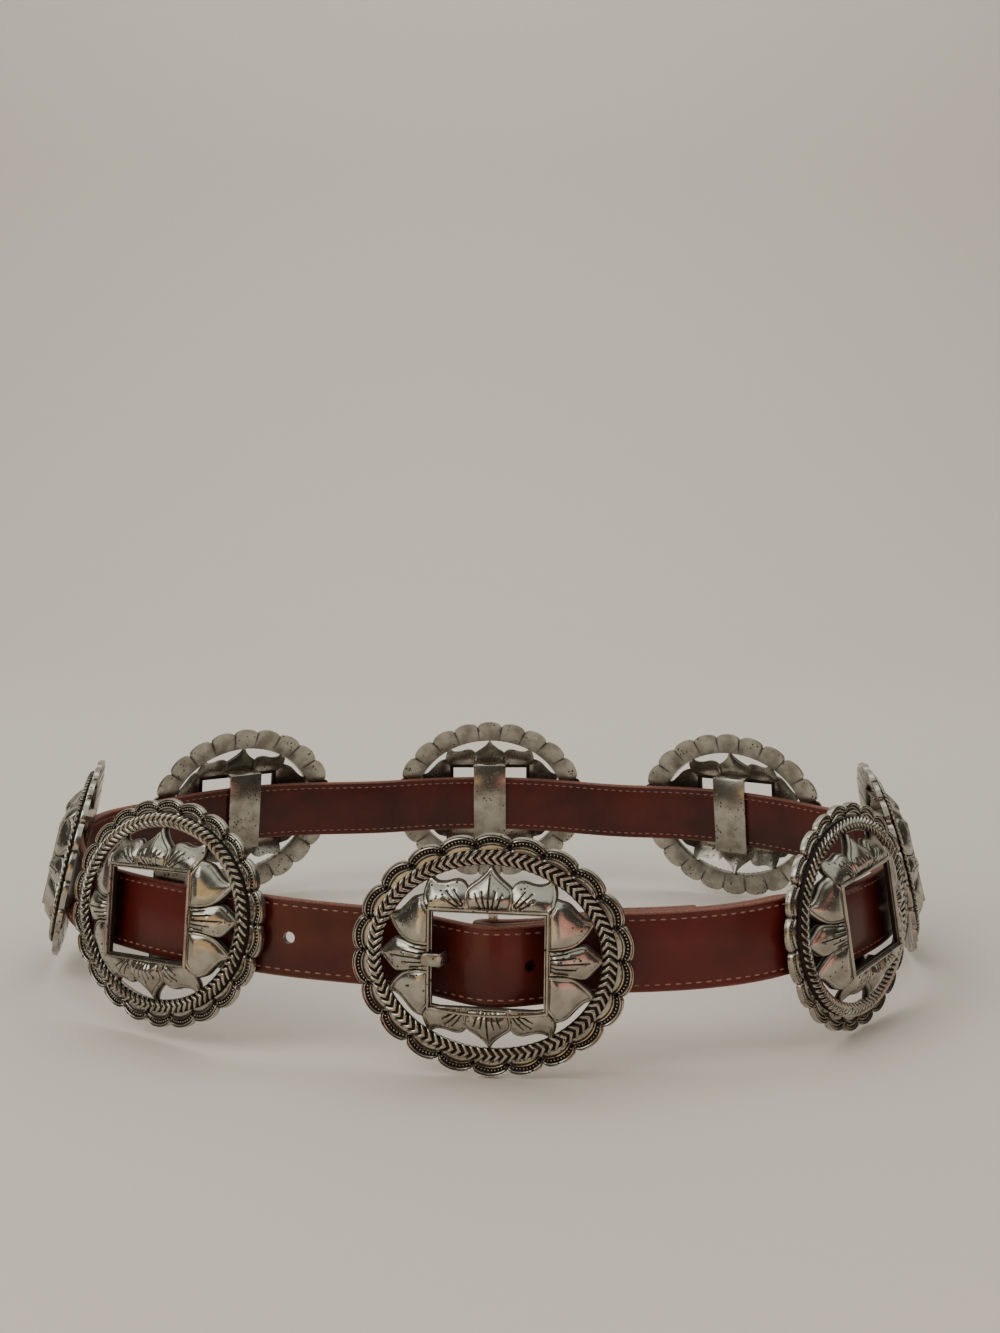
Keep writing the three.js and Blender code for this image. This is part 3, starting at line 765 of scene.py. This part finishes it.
def petalShell(petal):
    outline = smoothOutline(petal["outline"], petalWork["spacing"])
    nextOutline = np.roll(outline, -1, axis=0)
    veins = readVeins(petal["veins"])
    inside = petalInside(outline, nextOutline, veins)
    points = [Vector(point) for point in np.concatenate([outline, inside])]
    placed, _, faces, _, _, _ = delaunay_2d_cdt(points, [], [list(range(len(outline)))], 1, 1e-5)
    flat = np.array([tuple(point) for point in placed])
    height, back, dark = petalRelief(petal, flat, distancesTo(flat, outline, nextOutline), veins)
    total = len(flat)
    edges = {(a, b): True for face in faces for a, b in zip(face, face[1:] + face[:1])}
    walls = [(b, a, a + total, b + total) for a, b in edges if (b, a) not in edges]
    under = [tuple(i + total for i in reversed(face)) for face in faces]
    xyz = np.concatenate([np.column_stack([flat, height]), np.column_stack([flat, back])])
    # the backs of the petals are painted darker as shade
    shade = np.concatenate([dark, np.full(total, petalWork["backDark"])])
    return xyz, [tuple(face) for face in faces] + under + walls, shade


def addPetals(shells):
    for petal in petals:
        xyz, faces, dark = petalShell(petal)
        for sideX, sideY in petal["copies"]:
            turned = faces if sideX * sideY > 0 else [tuple(reversed(face)) for face in faces]
            points = xyz * np.array([sideX, sideY, 1])
            shells.add([tuple(point) for point in points], turned, list(dark))


# Window frame: one raised bar round the window, whose lower side may bow down
# Rows of the frame: part of the way from the inner to the outer outline, z and darkness (painted shade on the
# walls and groove, with patina)
frameSection = [
    (0, 6.5, 1), (0, 7.7, 0.9), (0.06, 8.1, 0.3), (0.22, 8.15, 0.2), (0.28, 7.9, 1), (0.34, 7.95, 1),
    (0.40, 8.6, 0.2), (0.52, 8.98, 0), (0.80, 9.0, 0), (0.94, 8.6, 0.2), (1, 8.0, 1), (1, 6.5, 1),
]


def windowOutline(size, bow):
    halfWidth, halfHeight = size
    steps = 24
    lower = []
    for step in range(steps + 1):
        part = 2 * step / steps - 1
        lower.append((part * halfWidth, -halfHeight - bow * (1 - part * part)))
    right = [(halfWidth, 0), (halfWidth, halfHeight)]
    left = [(-halfWidth, halfHeight), (-halfWidth, 0)]
    return lower + right + [(0, halfHeight)] + left


def addWindow(shells, bow):
    inner = windowOutline(window["inner"], bow)
    outer = windowOutline(window["bar"], bow)
    points = []
    dark = []
    for (x0, y0), (x1, y1) in zip(inner, outer):
        for part, z, soilAndShade in frameSection:
            points.append((blend(x0, x1, part), blend(y0, y1, part), z))
            dark.append(soilAndShade)
    shells.add(points, gridFaces(len(frameSection), len(inner)), dark)


def barBehind(leatherMiddle, width, depth):
    middle = leatherMiddle - leather["thickness"] / 2 - 2 * clearance - depth / 2
    return {"width": width, "depth": depth, "middle": middle}


buckleBar = barBehind(hump["base"] + hump["rise"] - layerPitch, 2.6, 2)
slideBar = barBehind(arch["top"], 14, 1.2)
# The bar is painted a little darker all over, as shade behind the window together with its patina
barWork = {"corner": 0.5, "bevel": 0.3, "worn": 0.12, "dark": 0.25}


def addBar(shells, bar):
    low = bar["middle"] - bar["depth"] / 2
    high = bar["middle"] + bar["depth"] / 2
    inside, outside, top = legs["inside"], legs["outside"], legs["top"]
    corner = barWork["corner"]
    outline = [
        (-outside, top), (-outside, low + corner), (-outside + corner, low),
        (outside - corner, low), (outside, low + corner), (outside, top),
        (inside, top), (inside, high), (-inside, high), (-inside, top),
    ]
    half = bar["width"] / 2
    bevelled = half - barWork["bevel"]
    centre = (high + low) / 2
    levels = [(-half, barWork["worn"]), (-bevelled, 0), (bevelled, 0), (half, barWork["worn"])]
    points = []
    for x, pull in levels:
        for y, z in outline:
            points.append((x, y - math.copysign(pull, y), blend(z, centre, pull / 2) if z < high else z))
    shells.add(points, tubeFaces(len(levels), len(outline)), [barWork["dark"]] * len(points))


def castingMesh(name, bar, bow):
    shells = Shells()
    addBand(shells)
    addPetals(shells)
    addWindow(shells, bow)
    addBar(shells, bar)
    rope = chevronLine()
    ropePitch = lineLength(rope) / chevron["count"]
    shells.addMesh(repeated("chevrons", chevronPiece(), [rope], ropePitch, finishes["silver"]))
    shells.addMesh(repeated("beads", beadPiece(), beadLines(), beads["pitch"], finishes["silver"]))
    mesh = shells.toMesh(name)
    mesh.materials.append(finishes["silver"])
    return mesh


def link(name, mesh):
    piece = bpy.data.objects.new(name, mesh)
    bpy.context.scene.collection.objects.link(piece)
    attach(piece, "root")
    return piece


def addCastings():
    slide = castingMesh("slide", slideBar, 0)
    buckle = castingMesh("buckle", buckleBar, window["bow"])
    for seat in seats:
        mesh = (buckle if seat["node"] == "buckle_frame" else slide).copy()
        mesh.transform(seatMatrix(seat))
        piece = link("cast_" + seat["node"], mesh)
        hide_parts(seat["node"])
    print("castings ready:", len(slide.polygons), "faces each")


addCastings()


# Strap: its line through each casting, sloping with its neighbours' heights
def strapAt(index):
    seat = seats[index % len(seats)]
    before = seats[(index - 1) % len(seats)]
    after = seats[(index + 1) % len(seats)]
    run = sum(math.hypot(a["x"] - b["x"], a["y"] - b["y"]) for a, b in ((before, seat), (seat, after)))
    turn = math.radians(seat["turn"])
    lean = math.radians(seat["lean"])
    flat = Vector((-math.sin(turn), -math.cos(turn), 0))
    rise = Vector((0, 0, 1))
    up = rise * math.cos(lean) - flat * math.sin(lean)
    out = flat * math.cos(lean) + rise * math.sin(lean)
    along = Vector((math.cos(turn), -math.sin(turn), (after["z"] - before["z"]) / run)).normalized()
    drop = leather["dropInBuckle"] if index % len(seats) == 0 else leather["dropInSlide"]
    middle = Vector((seat["x"], seat["y"], seat["z"])) - up * drop
    return {"along": along, "up": up, "out": out, "middle": middle}


def fallAt(x):  # away from the buckle's middle the strap falls back towards the waist
    return hump["fall"] * max(0, abs(x) - hump["fallFrom"]) ** 2


def leatherHeight(index, x):  # middle of the leather over the rim plane
    if index % len(seats) == 0:
        part = min(1, abs(x) / hump["halfLength"])
        return hump["base"] + hump["rise"] * (0.5 + 0.5 * math.cos(math.pi * part)) - fallAt(x)
    return arch["top"] - arch["drop"] * (x / arch["halfLength"]) ** 2


def reachOf(index):
    return hump["reach"] if index % len(seats) == 0 else arch["reach"]


def slopeOf(index):
    if index % len(seats) == 0:
        return -2 * fallAt(hump["reach"]) / (hump["reach"] - hump["fallFrom"])
    return -2 * arch["drop"] / arch["halfLength"]


def stationIn(index, x):
    line = strapAt(index)
    point = line["middle"] + line["along"] * x + line["out"] * leatherHeight(index, x)
    return {"point": point, "up": line["up"], "casting": index, "x": x}


def bendAfter(index):
    steps = 24
    here, there = strapAt(index), strapAt(index + 1)
    start = stationIn(index, reachOf(index))
    end = stationIn(index + 1, -reachOf(index + 1))
    chord = (end["point"] - start["point"]).length
    leave = (here["along"] + here["out"] * slopeOf(index)).normalized()
    meet = (there["along"] - there["out"] * slopeOf(index + 1)).normalized()
    handles = (start["point"] + leave * chord / 3, end["point"] - meet * chord / 3)
    points = interpolate_bezier(start["point"], *handles, end["point"], steps + 1)
    stations = []
    for step in range(1, steps):
        part = step / steps
        up = start["up"].lerp(end["up"], part).normalized()
        x = reachOf(index) + chord * part
        stations.append({"point": points[step], "up": up, "casting": index, "x": x})
    return stations


def spread(low, high, step):
    count = max(1, round((high - low) / step))
    return [blend(low, high, i / count) for i in range(count + 1)]


def lifted(station):  # the strap rides up between the buckle and the slide on either side of it
    casting, x, point = station["casting"], station["x"], station["point"]
    last = len(seats)
    rightOf = casting == 0 or (casting == 1 and x < 0)
    leftOf = casting == last or (casting == last - 1 and x > 0)
    if not (rightOf or leftOf):
        return station
    rise = lift["right"] if rightOf else lift["left"]
    for end in (seats[0], seats[1 if rightOf else last - 1]):
        away = math.hypot(point.x - end["x"], point.y - end["y"])
        part = min(1, max(0, (away - lift["from"]) / (lift["full"] - lift["from"])))
        rise *= part * part * (3 - 2 * part)
    return {**station, "point": point + station["up"] * rise}


def frontLayer():
    stations = [stationIn(0, x) for x in spread(0, hump["reach"], 1.5)] + bendAfter(0)
    for index in range(1, len(seats)):
        stations += [stationIn(index, x) for x in spread(-arch["reach"], arch["reach"], 3)] + bendAfter(index)
    stations += [stationIn(len(seats), x) for x in spread(-hump["reach"], -1.5, 1.5)]
    return [lifted(station) for station in stations]


def withNormals(stations, looped):
    last = len(stations) - 1
    ready = []
    for i, station in enumerate(stations):
        before = stations[i - 1 if looped else max(0, i - 1)]
        after = stations[(i + 1) % (last + 1) if looped else min(last, i + 1)]
        along = (after["point"] - before["point"]).normalized()
        up = (station["up"] - along * station["up"].dot(along)).normalized()
        ready.append({**station, "along": along, "up": up, "out": along.cross(up)})
    return ready


def shifted(station, distance):
    return {**station, "point": station["point"] + station["out"] * distance}


def layersOver(station):  # layers over the strap: one from the buckle to the first slide, where the tail ends
    if station["casting"] == 0:
        return 1
    if station["casting"] > 1:
        return 0
    part = min(1, max(0, (station["x"] - tail["end"]) / tail["ramp"]))
    return 0.5 + 0.5 * math.cos(math.pi * part)


def foldStations(front):  # short end folded back round the buckle's bar, behind the strap
    line = strapAt(0)

    def at(x, z):
        point = line["middle"] + line["along"] * x + line["out"] * z
        return {"point": point, "up": line["up"], "casting": 0, "x": x}

    ramp = fold["ramp"]
    halfWidth = buckleBar["width"] / 2 + clearance + fold["cornerRoom"] + leather["thickness"] / 2
    halfDepth = buckleBar["depth"] / 2 + clearance + leather["thickness"] / 2
    atBar = buckleBar["middle"] - halfDepth
    deepest = hump["base"] - fallAt(ramp) - 2 * layerPitch
    run = [shifted(s, -2 * layerPitch) for s in front if s["casting"] == 0 and ramp < s["x"] < fold["length"]]
    run.reverse()
    rampSteps = 8
    for step in range(rampSteps, 0, -1):
        part = 0.5 - 0.5 * math.cos(math.pi * step / rampSteps)
        run.append(lifted(at(ramp * step / rampSteps, blend(atBar, deepest, part))))
    turns = 14
    for turn in range(turns):
        angle = math.pi * turn / turns
        run.append(at(-halfWidth * math.sin(angle), buckleBar["middle"] - halfDepth * math.cos(angle)))
    return run


def strapSection():  # across and out, counter-clockwise from the front's lower edge
    halfWidth = leather["width"] / 2
    half = leather["thickness"] / 2
    radius = leather["cornerRadius"]
    chamfer = 0.3 * radius
    crease = halfWidth - leather["creaseFromEdge"]
    beside = leather["creaseHalfWidth"]
    face = [
        (halfWidth, half - radius), (halfWidth - chamfer, half - chamfer), (halfWidth - radius, half),
        (crease + beside, half), (crease, half - leather["creaseDepth"]), (crease - beside, half),
    ]
    front = face + [(0, half)] + [(-across, out) for across, out in reversed(face)]
    return front + [(-across, -out) for across, out in front]


def lengthsAlong(stations):
    lengths = [0.0]
    for a, b in pairwise(stations):
        lengths.append(lengths[-1] + (b["point"] - a["point"]).length)
    return lengths


def strapMesh(name, stations):
    section = strapSection()
    count = len(section)
    stations = withNormals(stations, False)
    lengths = lengthsAlong(stations)
    points = []
    for station in stations:
        for across, out in section:
            points.append(station["point"] + station["up"] * across + station["out"] * out)
    faces = []
    places = []
    for row in range(len(stations) - 1):
        for i in range(count):
            beside = (i + 1) % count
            corners = ((row, i), (row, beside), (row + 1, beside), (row + 1, i))
            faces.append(tuple(r * count + c for r, c in corners))
            places += [(lengths[r] * mm, section[c][0] * mm) for r, c in corners]
    faces.append(tuple(reversed(range(count))))
    places += [(0, across * mm) for across, _ in reversed(section)]
    end = (len(stations) - 1) * count
    faces.append(tuple(end + i for i in range(count)))
    places += [(lengths[-1] * mm, across * mm) for across, _ in section]
    mesh = meshFrom(name, points, faces)
    mesh.uv_layers.new(name="strap").data.foreach_set("uv", np.array(places, dtype=float).ravel())
    return mesh


def cut(mesh, cutter):
    piece = bpy.data.objects.new("cut", mesh)
    tool = bpy.data.objects.new("tool", cutter)
    bpy.context.scene.collection.objects.link(piece)
    bpy.context.scene.collection.objects.link(tool)
    modifier = piece.modifiers.new("cut", "BOOLEAN")
    modifier.operation = "DIFFERENCE"
    modifier.solver = "EXACT"
    modifier.object = tool
    depsgraph = bpy.context.evaluated_depsgraph_get()
    result = bpy.data.meshes.new_from_object(piece.evaluated_get(depsgraph), depsgraph=depsgraph)
    bpy.data.objects.remove(piece)
    bpy.data.objects.remove(tool)
    return result


def prisms(name, pieces):  # a solid for each outline, from the first of its ends to the last
    points = []
    faces = []
    for ends, outline in pieces:
        start = len(points)
        for origin, axisX, axisY in ends:
            points += [origin + axisX * x + axisY * y for x, y in outline]
        faces += [tuple(start + i for i in face) for face in tubeFaces(len(ends), len(outline))]
    return meshFrom(name, points, faces)


prong = {
    "width": 3.8, "thickness": 1.5, "eyeWall": 1.2, "drop": 1, "neck": 3, "neckAt": -13.2, "tipAt": -18.9,
    "holeAt": -12.5, "holePull": 0.7, "holeLean": 0.45,
}
slot = {"left": -8, "right": 4, "halfDepth": 5.5, "room": 0.8}


def circle(diameter, count=28):
    turns = [2 * math.pi * i / count for i in range(count)]
    return [(diameter / 2 * math.cos(turn), diameter / 2 * math.sin(turn)) for turn in turns]


def punches(billet):  # the holes, of which the fastened one leans with the prong
    lengths = lengthsAlong(billet)
    near = next(i for i, s in enumerate(billet) if s["casting"] == len(seats) and s["x"] > prong["holeAt"])
    fastened = lengths[near] - billet[near]["x"] + prong["holeAt"]
    reach = leather["thickness"] / 2 + leather["punchRoom"]
    pieces = []
    for step in (-2, -1, 0, 1, 2):
        distance = fastened + step * leather["holePitch"] - (prong["holePull"] if step == 0 else 0)
        i = next(i for i, length in enumerate(lengths) if length > distance) - 1
        part = (distance - lengths[i]) / (lengths[i + 1] - lengths[i])
        station = billet[i]
        rise = leather["dropInBuckle"] - prong["drop"] if step == 0 else 0
        lean = prong["holeLean"] if step == 0 else 0
        middle = station["point"].lerp(billet[i + 1]["point"], part) + station["up"] * rise
        axis = station["out"] - station["along"] * lean
        ends = [(middle + axis * out, station["along"], station["up"]) for out in (-reach, reach)]
        pieces.append((ends, circle(leather["holeDiameter"])))
    return pieces


def slotTool():  # slot in the fold that the prong's eye stands in
    line = strapAt(0)
    halfWidth = (prong["width"] + slot["room"]) / 2
    left, right = slot["left"], slot["right"]
    centre = line["middle"] + line["up"] * (leather["dropInBuckle"] - prong["drop"])
    depths = [buckleBar["middle"] + side * slot["halfDepth"] for side in (-1, 1)]
    ends = [(centre + line["out"] * depth, line["along"], line["up"]) for depth in depths]
    return [(ends, [(left, -halfWidth), (right, -halfWidth), (right, halfWidth), (left, halfWidth)])]


stitch = {"pitch": 3.1, "length": 1.75, "thickness": 0.5, "sink": 0.18, "raise": 0.12}


def stitchPiece():
    segments = 6
    half = stitch["length"] / 2
    levels = ((-half, 0.35), (-0.75 * half, 0.85), (0, 1.0), (0.75 * half, 0.85), (half, 0.35))
    points = []
    for x, size in levels:
        radius = stitch["thickness"] / 2 * size
        points += [(x, radius * y, radius * z - stitch["sink"] * (1 - size)) for y, z in circle(2, segments)]
    return meshFrom("stitch", points, tubeFaces(len(levels), segments))


def stitchLines(stations):
    edge = leather["width"] / 2 - leather["creaseFromEdge"]
    height = leather["thickness"] / 2 - leather["creaseDepth"] + stitch["raise"]
    lines = []
    for side in (-1, 1):
        for face in (-1, 1):
            line = []
            for station in stations:
                point = station["point"] + station["up"] * side * edge + station["out"] * face * height
                line.append((tuple(point), station["out"] * face))
            lines.append(line)
    return lines


def joined(name, meshes):
    target = bpy.data.objects.new(name, meshes[0])
    bpy.context.scene.collection.objects.link(target)
    others = [bpy.data.objects.new("other", mesh) for mesh in meshes[1:]]
    for other in others:
        bpy.context.scene.collection.objects.link(other)
    with bpy.context.temp_override(active_object=target, selected_editable_objects=[target] + others):
        bpy.ops.object.join()
    return target


def addStrap():
    front = withNormals(frontLayer(), True)
    worn = [shifted(station, -layerPitch * layersOver(station)) for station in front]
    half = next(i for i, s in enumerate(front) if s["casting"] == backMiddle and s["x"] >= -0.01)
    folded = foldStations(front) + worn[:half + 1]
    free = [s for s in front if s["casting"] == 0 or (s["casting"] == 1 and s["x"] < tail["end"])]
    billet = worn[half:] + free
    holes = prisms("holes", punches(withNormals(billet, False)))
    foldedMesh = cut(strapMesh("folded_end", folded), prisms("slot", slotTool()))
    billetMesh = cut(strapMesh("billet_end", billet), holes)
    piece = joined("strap_leather", [foldedMesh, billetMesh])
    piece.data.materials.clear()
    piece.data.materials.append(finishes["leather"])
    piece.data.shade_smooth()
    piece.data.set_sharp_from_angle(angle=math.radians(50))
    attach(piece, "root")
    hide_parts("strap")
    paths = [line for path in (folded, billet) for line in stitchLines(withNormals(path, False))]
    threads = repeated("stitches", stitchPiece(), paths, stitch["pitch"], finishes["thread"])
    threads.shade_smooth()
    link("strap_stitching", threads)
    print("strap ready:", len(piece.data.polygons), "faces,", len(threads.polygons), "in the stitches")


addStrap()


# Prong: an eye round the bar and a cranked tongue with a rounded tip on the left of the frame
# Section of the tongue, across and out, whose bright flat side lies to the front at the tip
tongueSection = [
    (1, 0), (0.95, 0.8), (0.7, 1), (-0.7, 1), (-0.95, 0.8), (-1, 0),
    (-0.98, -0.4), (-0.86, -0.85), (-0.6, -1), (0.6, -1), (0.86, -0.85), (0.98, -0.4),
]
# The back and the sides of the tongue are painted dark as shade, outlining it against the petals; the front
# and the eye get light patina
prongDark = {"back": 0.95, "front": 0.3, "eye": 0.2}


def tongueRows():  # x, y, z and the share of the full width
    rest = window["front"] + clearance + prong["thickness"] / 2
    tip = prong["tipAt"]
    neckAt = prong["neckAt"]
    low = -prong["drop"]
    slim = prong["neck"] / prong["width"]
    return [
        (-2.7, low, -0.9, 1), (-5.2, low, -1.3, 1), (-8.8, low, -1.7, 1), (-10.6, low, -2.5, slim),
        (-11.7, low, -2.3, slim), (-12.3, low, -1.2, slim), (-13.1, low, 0.9, slim), (neckAt, -0.9, 2.5, 1),
        (neckAt, -0.3, rest - 1.8, 1), (neckAt - 0.2, -0.25, rest - 0.9, 1),
        (neckAt - 0.7, -0.2, rest - 0.3, 1), (neckAt - 2, -0.1, rest, 1),
        (tip + 1.7, 0, rest, 1), (tip + 1.0, 0, rest, 0.95),
        (tip + 0.45, 0, rest, 0.82), (tip + 0.12, 0, rest, 0.62), (tip, 0, rest, 0.42),
    ]


def addTongue(shells):
    rows = tongueRows()
    stations = withNormals([{"point": Vector(row[:3]), "up": Vector((0, 1, 0))} for row in rows], False)
    points = []
    for station, (_, _, _, size) in zip(stations, rows):
        halfWidth = prong["width"] / 2 * size
        halfDepth = prong["thickness"] / 2 * blend(0.4, 1, size)
        for across, out in tongueSection:
            corner = station["up"] * across * halfWidth + station["out"] * out * halfDepth
            points.append(station["point"] + corner)
    # painted shade: back and sides dark, front only lightly
    soilAndShade = [prongDark["back" if out >= 0 else "front"] for _, out in tongueSection] * len(rows)
    shells.add([tuple(point) for point in points], tubeFaces(len(rows), len(tongueSection)), soilAndShade)


def addEye(shells):
    hole = (buckleBar["width"] / 2 + clearance, buckleBar["depth"] / 2 + clearance)
    outer = [size + prong["eyeWall"] for size in hole]
    half = prong["width"] / 2
    turns = 28
    points = []
    for i in range(turns):
        angle = 2 * math.pi * i / turns
        for size, y in ((outer, -half), (outer, half), (hole, half), (hole, -half)):
            z = buckleBar["middle"] + size[1] * math.sin(angle)
            points.append((size[0] * math.cos(angle), y - prong["drop"], z))
    shells.add(points, gridFaces(4, turns), [prongDark["eye"]] * len(points))


def addProng():
    shells = Shells()
    addTongue(shells)
    addEye(shells)
    mesh = shells.toMesh("prong")
    mesh.materials.append(finishes["silver"])
    mesh.transform(seatMatrix(seats[0]))
    piece = link("prong_metal", mesh)
    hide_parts("buckle_prong")


addProng()
print("prong ready")
